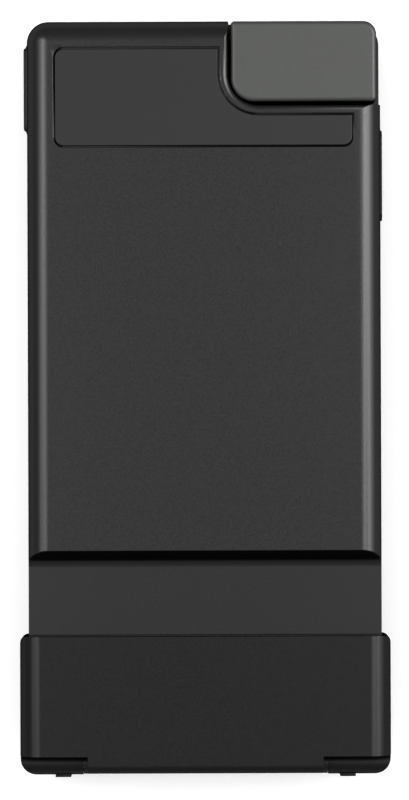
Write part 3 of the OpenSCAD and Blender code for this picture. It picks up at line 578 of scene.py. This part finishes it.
def tube(path, radius, count=16):
    """A round tube along a path: rings square to its tangent, carried without twist."""
    path = np.array(path, float)
    tangent = np.gradient(path, axis=0)
    tangent /= np.linalg.norm(tangent, axis=1, keepdims=True)
    side = np.cross(tangent[0], (0.3, 0.5, 0.8))
    angle = np.arange(count) * TAU / count
    rings = np.zeros((len(path), count, 3))
    for i, (p, t) in enumerate(zip(path, tangent)):
        side = side - t * side.dot(t)
        side /= np.linalg.norm(side)
        up = np.cross(t, side)
        rings[i] = p + radius * (np.cos(angle)[:, None] * side + np.sin(angle)[:, None] * up)
    return loft(rings)


def rounded_route(corners, bend, steps=7):
    """A path through corners: each inner one is a parabola between the points one bend away."""
    corners = np.array(corners, float)
    t = np.linspace(0, 1, steps)[:, None]
    path = [corners[:1]]
    for a, b, c in zip(corners, corners[1:], corners[2:]):
        start = b + (a - b) * bend / np.linalg.norm(a - b)
        end = b + (c - b) * bend / np.linalg.norm(c - b)
        path.append((1 - t) ** 2 * start + 2 * t * (1 - t) * b + t ** 2 * end)
    return np.concatenate(path + [corners[-1:]])


def dome_places(node, tip):
    """The middles of a contact mat's domes: its points at the tips' height, averaged dome by dome."""
    mesh = frame["nodes"][node].data
    points = np.zeros(len(mesh.vertices) * 3)
    mesh.vertices.foreach_get("co", points)
    points = points.reshape(-1, 3)
    tips = points[np.abs(points[:, 2] - tip) < TIP_LEVEL][:, :2]
    near = np.linalg.norm(tips[:, None] - tips, axis=2) < DOME_TIP * 2.2
    return np.unique(np.round((near @ tips) / near.sum(1)[:, None], 4), axis=0)


# ---------------------------------------------------------------- sizes and colours

def colour_of(name, text, code):
    return FloatVectorProperty(name=name, description=text, subtype="COLOR", size=4, min=0.0, max=1.0,
                               default=linear(code))


def length_of(name, text, value):
    return FloatProperty(name=name, description=text, unit="LENGTH", precision=5, default=value)


class KeyboardLooks(bpy.types.PropertyGroup):
    """Colours and small sizes of the keyboard's surfaces"""

    case_colour: colour_of("Cases", "ABS of the cases and decks", "#121213")
    # The housings' colour is the cases' black made a little darker: painted shade of the hinge end.
    housing_colour_and_shade: colour_of("Hinge housings", "ABS of the hinge housings", "#0e0e0f")
    pad_colour: colour_of("Grip pads", "Elastomer of the pads and the front grip", "#171716")
    block_colour: colour_of("Corner block", "Grey ABS of the corner block", "#5d605c")
    white_key_colour: colour_of("White keys", "ABS of the white keys", "#e3e1da")
    black_key_colour: colour_of("Black keys", "ABS of the black keys", "#1c1c1e")
    button_colour: colour_of("Buttons", "Silicone of the buttons", "#45464a")
    case_edge: length_of("Case edge", "Rounding of the cases' small edges", 0.18 * MM)
    block_edge: length_of("Block edge", "Rounding of the block's small edges", 0.15 * MM)
    pad_edge: length_of("Pad edge", "Rounding of the pads' edges", 0.2 * MM)
    key_edge: length_of("Key edge", "Rounding of the white keys' edges", 0.3 * MM)
    sharp_edge: length_of("Black key edge", "Rounding of the black keys' edges", 0.4 * MM)
    button_edge: length_of("Button edge", "Rounding of the buttons' edges", 0.35 * MM)


class StageLooks(bpy.types.PropertyGroup):
    """The floor, the lamps and the camera"""

    floor_colour: colour_of("Floor", "Paper floor", "#f7f7f6")
    floor_lift: FloatProperty(name="Floor lift", description="Light that lifts the paper to white",
                              default=0.3)
    floor_size: length_of("Floor size", "Side of the square floor", 4.0)
    camera_height: length_of("Camera height", "Height of the camera over the top face", 0.95)
    view_length: length_of("View", "Length of the top face's plane that fills the picture's height",
                           0.1848)


# ---------------------------------------------------------------- pieces

class KEYBOARD_OT_cases(bpy.types.Operator):
    """Cases: the two moulded shells with their softened edges"""

    bl_idname = "keyboard.cases"
    bl_label = "Cases"

    def execute(self, context):
        looks = context.scene.keyboard_looks
        for node in ("right_case", "left_case"):
            soften(node, looks.case_edge, spark_eroded_abs, "case_plastic")
        return {"FINISHED"}


class KEYBOARD_OT_hinge_housings(bpy.types.Operator):
    """Hinge housings: the collar over the necks, with its knuckles and ears"""

    bl_idname = "keyboard.hinge_housings"
    bl_label = "Hinge Housings"

    def execute(self, context):
        looks = context.scene.keyboard_looks
        for node in ("right_hinge_housing", "left_hinge_housing"):
            soften(node, looks.case_edge, collar_abs_and_shade, "case_plastic", reshape=self.squarer(node))
        return {"FINISHED"}

    def squarer(self, node):
        """Makes the corners at the neck nearly square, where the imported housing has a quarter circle.

        A point moves along X only, from u^2 + v^2 = 1 out to u^6 + v^6 = 1."""
        low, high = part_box(node)
        x, y = low[0] + HOUSING_CORNER, high[1] - HOUSING_CORNER

        def moved(point):
            u, v = (x - point.x) / HOUSING_CORNER, (abs(point.y) - y) / HOUSING_CORNER
            if u > 0 and v > 0:
                v = min(v, CORNER_END)
                u *= (1 - v ** 6) ** (1 / 6) / (1 - v ** 2) ** 0.5
                point = Vector((x - u * HOUSING_CORNER, point.y, point.z))
            return point
        return moved


class KEYBOARD_OT_corner_block(bpy.types.Operator):
    """Corner block: the grey cover that stands in the notch, and its light"""

    bl_idname = "keyboard.corner_block"
    bl_label = "Corner Block"

    def execute(self, context):
        looks = context.scene.keyboard_looks
        soften("corner_block_cover", looks.block_edge, grey_block_abs, "block_plastic")
        self.lens()
        return {"FINISHED"}

    def lens(self):
        """A light guide with a rounded end that stands proud of the block's end wall."""
        low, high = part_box("status_lens")
        outline = rounded_outline(high[1] - low[1], high[2] - low[2], LENS_CORNER)
        outline += ((low[1] + high[1]) / 2, (low[2] + high[2]) / 2)
        rows = [(0.0, -high[0])] + rounding(LENS_EDGE, -low[0], steps=7)
        guide = new_piece("status_light_guide", [aimed(terrace(outline, rows), "free_end")])
        place(guide, "status_lens", lens_polycarbonate, "lens", ("status_lens",))


class KEYBOARD_OT_grips(bpy.types.Operator):
    """Grips: the elastomer pads in their recesses and the strip on the front"""

    bl_idname = "keyboard.grips"
    bl_label = "Grips"

    def execute(self, context):
        looks = context.scene.keyboard_looks
        for node in ("right_grip_pad", "left_grip_pad"):
            soften(node, looks.pad_edge, grip_elastomer, "rubber", segments=3)
        self.front_grip()
        return {"FINISHED"}

    def front_grip(self):
        """A strip proud of the front: a rim, a narrow ledge in the light, and a raised face."""
        low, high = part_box("front_grip")
        outline = rounded_outline(high[0] - low[0], high[2] - low[2], GRIP_CORNER)
        outline += ((low[0] + high[0]) / 2, (low[2] + high[2]) / 2)
        face, foot = -low[1], -high[1]
        rim = face - GRIP_STEP
        rows = [(0.0, foot)] + [(inset, rim + height) for inset, height in GRIP_RIM]
        rows += [(GRIP_LEDGE, face - GRIP_FACE_EDGE)]
        rows += [(GRIP_LEDGE + inset, height) for inset, height in rounding(GRIP_FACE_EDGE, face)]
        strip = new_piece("front_grip_strip", [aimed(terrace(outline, rows), "front")], smooth=50.0)
        place(strip, "front_grip", grip_elastomer, "rubber", ("front_grip",))


class KEYBOARD_OT_decks(bpy.types.Operator):
    """Decks: the frames that hold the keys"""

    bl_idname = "keyboard.decks"
    bl_label = "Decks"

    def execute(self, context):
        looks = context.scene.keyboard_looks
        for node in ("right_frame", "left_frame"):
            soften(node, looks.case_edge, deck_abs, "case_plastic")
        return {"FINISHED"}


class KEYBOARD_OT_white_keys(bpy.types.Operator):
    """White keys: hollow caps with rounded playing edges"""

    bl_idname = "keyboard.white_keys"
    bl_label = "White Keys"

    def execute(self, context):
        looks = context.scene.keyboard_looks
        for node in NATURALS:
            soften(node, looks.key_edge, white_key_abs, "white_key", segments=3)
        return {"FINISHED"}


class KEYBOARD_OT_black_keys(bpy.types.Operator):
    """Black keys: tapered caps with rounded tops"""

    bl_idname = "keyboard.black_keys"
    bl_label = "Black Keys"

    def execute(self, context):
        looks = context.scene.keyboard_looks
        for node in SHARPS:
            soften(node, looks.sharp_edge, black_key_abs, "black_key", segments=3)
        return {"FINISHED"}


class KEYBOARD_OT_buttons(bpy.types.Operator):
    """Buttons: silicone caps with plain printed signs"""

    bl_idname = "keyboard.buttons"
    bl_label = "Buttons"

    def execute(self, context):
        looks = context.scene.keyboard_looks
        for node in BUTTONS:
            soften(node, looks.button_edge, button_silicone, "button", segments=3)
            self.mark(node, self.outlines(node))
        return {"FINISHED"}

    def outlines(self, node):
        """A plain sign: bars for less and more, a dot, arrowheads down and up, and a wave."""
        r, w = MARK_REACH, MARK_LINE / 2
        bar = np.array([(-r, -w), (r, -w), (r, w), (-r, w)])
        arrow = np.array([(-r, -0.6 * r), (r, -0.6 * r), (0.0, r)])
        turn = np.linspace(0, TAU, 32, endpoint=False)
        x = np.linspace(-r, r, 24)
        crest = 0.45 * r * np.sin(x / r * math.pi)
        wave = np.column_stack([np.append(x, x[::-1]), np.append(crest - w, crest[::-1] + w)])
        signs = {
            "octave_down_button": [bar], "octave_up_button": [bar, bar[:, ::-1][::-1]],
            "sustain_button": [0.5 * r * np.column_stack([np.cos(turn), np.sin(turn)])],
            "pitch_down_button": [arrow[::-1] * (1, -1)], "pitch_up_button": [arrow],
            "modulation_button": [wave]}
        return signs[node]

    def mark(self, node, outlines):
        """The sign as a film of ink on the button's top."""
        low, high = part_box(node)
        middle = np.array([(low[0] + high[0]) / 2, (low[1] + high[1]) / 2])
        top = high[2]
        rows = [(0.0, top - MARK_FILM), (0.0, top + MARK_FILM)]
        film = new_piece(node + "_sign", [terrace(middle + outline, rows) for outline in outlines])
        place(film, node, printed_mark, "button")


class KEYBOARD_OT_port(bpy.types.Operator):
    """Port: the metal shell in its bezel, its tongue and its contacts"""

    bl_idname = "keyboard.port"
    bl_label = "Port"

    def execute(self, context):
        looks = context.scene.keyboard_looks
        soften("port_bezel", looks.case_edge, bezel_polycarbonate, "bezel_plastic")
        dress("usb_connector", nickel_steel)
        self.tongue()
        return {"FINISHED"}

    def tongue(self):
        """A black cover on the tongue in the port's shell, with gold contacts on both faces."""
        low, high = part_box("usb_connector")
        middle = np.array([(low[0] + high[0]) / 2, (low[2] + high[2]) / 2])
        end = high[1] - COVER_SINK
        outline = middle + rounded_outline(COVER_WIDTH, COVER_THICK, COVER_CORNER)
        rows = [(0.0, end - COVER_LENGTH)] + rounding(COVER_EDGE, end)
        tongue = new_piece("port_tongue", [aimed(terrace(outline, rows), "back")])
        place(tongue, "usb_connector", bezel_polycarbonate, "bezel_plastic")
        pad = rounded_outline(CONTACT_WIDTH, CONTACT_THICK, CONTACT_CORNER, steps=2)
        rows = [(0.0, end - CONTACT_START), (0.0, end - CONTACT_END)]
        offsets = [((i - (CONTACTS_A_SIDE - 1) / 2) * CONTACT_PITCH, side * CONTACT_LEVEL)
                   for i in range(CONTACTS_A_SIDE) for side in (-1, 1)]
        pads = [aimed(terrace(middle + pad + offset, rows), "back") for offset in offsets]
        contacts = new_piece("port_contacts", pads)
        place(contacts, "usb_connector", contact_gold, "steel")


class KEYBOARD_OT_hinge_metal(bpy.types.Operator):
    """Hinge metal: pins, washers, screws and magnets"""

    bl_idname = "keyboard.hinge_metal"
    bl_label = "Hinge Metal"

    def execute(self, context):
        for node in ("front_hinge_pin", "rear_hinge_pin", "left_case_screws", "right_case_screws"):
            dress(node, nickel_steel)
        for node in ("left_magnets", "right_magnets"):
            dress(node, magnet_nickel)
        dress("hinge_washers", washer_acetal)
        return {"FINISHED"}


class KEYBOARD_OT_inside(bpy.types.Operator):
    """Inside: boards, chip, contact mats and the hinge cable"""

    bl_idname = "keyboard.inside"
    bl_label = "Inside"

    def execute(self, context):
        for node in ("left_circuit_board", "right_circuit_board"):
            dress(node, solder_mask)
        dress("microcontroller", chip_epoxy)
        self.contact_mat("left_contact_mat", up=1)
        self.contact_mat("right_contact_mat", up=-1)
        self.cable("left_hinge_cable", up=-1)
        self.cable("right_hinge_cable", up=1)
        return {"FINISHED"}

    def contact_mat(self, node, up):
        """A sheet with a rounded rim, and a dome with a dished tip under each plunger.

        Each dome is a piece with a mesh of its own, named after the key or button that rests on it."""
        low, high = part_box(node)
        foot, tip = (low[2], high[2]) if up > 0 else (high[2], low[2])
        sheet = foot + up * MAT_SHEET
        outline = rounded_outline(high[0] - low[0], high[1] - low[1], MAT_CORNER)
        outline += ((low[0] + high[0]) / 2, (low[1] + high[1]) / 2)
        rim = rounding(MAT_RIM, MAT_RIM)
        rows = [(0.0, foot)] + [(inset, sheet - up * (MAT_RIM - rise)) for inset, rise in rim]
        mat = new_piece(node.replace("contact_mat", "dome_sheet"), [terrace(outline, rows)])
        place(mat, node, contact_silicone, "contact_rubber", (node,))
        profile = [(DOME_FOOT * radius, sheet + (tip - sheet) * rise)
                   for radius, rise in zip(DOME_RADII, DOME_RISES)]
        for centre in dome_places(node, tip):
            presser = self.presser(centre, tip)
            dome = new_piece("dome_under_" + presser, [revolve(centre, profile)])
            place(dome, node, contact_silicone, "contact_rubber")
            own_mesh(dome)

    def presser(self, centre, tip):
        """The key or button whose plunger rests on the dome at centre."""
        def distance(node):
            corners = [vert.co for vert in frame["nodes"][node].data.vertices]
            points = [p for p in corners if abs(p.z - tip) < PLUNGER_LEVEL]
            return min((math.dist(p[:2], centre) for p in points), default=1.0)
        return min(TRAVEL, key=distance)

    def cable(self, node, up):
        """The round cable from the fold axis along the pin, then out of it and along the board."""
        low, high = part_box(node)
        r = CABLE_RADIUS
        axis_x = high[0] - r
        axis_z, board_z = (low[2] + r, high[2] - r) if up > 0 else (high[2] - r, low[2] + r)
        start, turn = (high[1], low[1] + r) if up > 0 else (low[1], high[1] - r)
        corners = [(axis_x, start, axis_z), (axis_x, turn, axis_z), (axis_x, turn, board_z),
                   (low[0], turn, board_z)]
        lead = new_piece(node + "_lead", [tube(rounded_route(corners, CABLE_BEND), r)])
        place(lead, node, cable_pvc, "cable", (node,))


class KEYBOARD_OT_stage(bpy.types.Operator):
    """Stage: the paper floor, the studio lamps and the camera straight above"""

    bl_idname = "keyboard.stage"
    bl_label = "Stage"

    def execute(self, context):
        stage = context.scene.keyboard_stage
        self.floor(stage)
        self.lamps()
        self.world(context)
        self.camera(context, stage)
        return {"FINISHED"}

    def floor(self, stage):
        """A square sheet of paper a hair below the object's foot.

        Camera, gloss and transmission rays see it white, and it still shows the object's shadow.
        All other rays see plain paper."""
        half = stage.floor_size / 2
        z = -FLOOR_DROP
        mesh = bpy.data.meshes.new("paper_floor")
        mesh.from_pydata([(-half, -half, z), (half, -half, z), (half, half, z), (-half, half, z)],
                         [], [(0, 1, 2, 3)])
        floor = link_mesh("paper_floor", mesh)
        material = new_material("matt_paper")
        spot = add(material, "TexCoord").outputs["Object"]
        fibre = add(material, "TexNoise", {"Vector": spot, "Scale": 1 / (2 * MM), "Detail": 2.0})
        tone = two_tones(material, fibre.outputs["Fac"], shade(stage.floor_colour, 0.99),
                         stage.floor_colour)
        paper = add(material, "BsdfDiffuse", {"Color": tone})
        seen = add(material, "BsdfDiffuse", {"Color": linear("#ffffff")})
        glow = add(material, "Emission", {"Color": linear("#ffffff"), "Strength": stage.floor_lift})
        bright = add(material, "AddShader", {0: seen.outputs[0], 1: glow.outputs[0]})
        path = add(material, "LightPath").outputs
        direct = add(material, "Math", {0: path["Is Camera Ray"], 1: path["Is Glossy Ray"]},
                     operation="MAXIMUM")
        direct = add(material, "Math", {0: direct.outputs[0], 1: path["Is Transmission Ray"]},
                     operation="MAXIMUM")
        mixed = add(material, "MixShader", {
            0: direct.outputs[0], 1: paper.outputs[0], 2: bright.outputs[0]})
        add(material, "OutputMaterial", {"Surface": mixed.outputs[0]})
        mesh.materials.append(material)

    def lamps(self):
        """Two soft boxes that light everything, and strips that only show in the gloss.

        The strips stand over the free end, so that the highlights fade towards the hinge."""
        for row in SOFT_BOXES:
            self.lamp(*row)
        for row in GLOSS_STRIPS:
            self.lamp(*row, gloss_only=True)

    def lamp(self, name, lean, x, length, width, brightness, gloss_only=False):
        """A soft box on an arc over the object, leaning lean degrees from upright towards the back."""
        light = bpy.data.lights.new(name, "AREA")
        light.shape = "RECTANGLE"
        light.size = length
        light.size_y = width
        light.energy = brightness * TAU * length * width
        lamp = bpy.data.objects.new(name, light)
        angle = math.radians(lean)
        lamp.location = (x, LAMP_ARC * math.sin(angle), LAMP_ARC * math.cos(angle))
        lamp.rotation_euler = (-angle, 0.0, 0.0)
        lamp.visible_diffuse = not gloss_only
        bpy.context.scene.collection.objects.link(lamp)

    def world(self, context):
        world = bpy.data.worlds.new("room")
        world.use_nodes = True
        background = world.node_tree.nodes["Background"]
        background.inputs["Color"].default_value = linear("#ffffff")
        background.inputs["Strength"].default_value = ROOM_LIGHT
        context.scene.world = world

    def camera(self, context, stage):
        """Looks straight down, with the free end at the top of the picture."""
        data = bpy.data.cameras.new("camera")
        data.sensor_width = SENSOR_WIDTH
        data.lens = data.sensor_width * stage.camera_height / stage.view_length
        data.clip_start = 0.05
        camera = bpy.data.objects.new("camera", data)
        camera.location = (CAMERA_SHIFT, 0.0, CAD_BOX[1].z + stage.camera_height)
        camera.rotation_euler = (0.0, 0.0, math.radians(90 - CAMERA_TURN))
        context.scene.collection.objects.link(camera)
        context.scene.camera = camera
        context.scene.view_settings.view_transform = "Standard"


PIECES = (
    KEYBOARD_OT_cases, KEYBOARD_OT_hinge_housings, KEYBOARD_OT_corner_block, KEYBOARD_OT_grips,
    KEYBOARD_OT_decks, KEYBOARD_OT_white_keys, KEYBOARD_OT_black_keys, KEYBOARD_OT_buttons,
    KEYBOARD_OT_port, KEYBOARD_OT_hinge_metal, KEYBOARD_OT_inside, KEYBOARD_OT_stage)


class KEYBOARD_PT_looks(bpy.types.Panel):
    """Lists the operators with the sizes and colours that they use"""

    bl_idname = "KEYBOARD_PT_looks"
    bl_label = "Folding Keyboard"
    bl_space_type = "VIEW_3D"
    bl_region_type = "UI"
    bl_category = "Keyboard"

    def draw(self, context):
        for group in (context.scene.keyboard_looks, context.scene.keyboard_stage):
            for name in group.bl_rna.properties.keys():
                if name not in ("rna_type", "name"):
                    self.layout.prop(group, name)
        for operator in PIECES:
            self.layout.operator(operator.bl_idname)


CLASSES = (KeyboardLooks, StageLooks, *PIECES, KEYBOARD_PT_looks)


def register():
    for item in CLASSES:
        bpy.utils.register_class(item)
    bpy.types.Scene.keyboard_looks = PointerProperty(type=KeyboardLooks)
    bpy.types.Scene.keyboard_stage = PointerProperty(type=StageLooks)


def unregister():
    del bpy.types.Scene.keyboard_stage
    del bpy.types.Scene.keyboard_looks
    for item in reversed(CLASSES):
        bpy.utils.unregister_class(item)


def main():
    register()
    for operator in PIECES:
        group, name = operator.bl_idname.split(".")
        getattr(getattr(bpy.ops, group), name)()


if __name__ == "__main__":
    main()
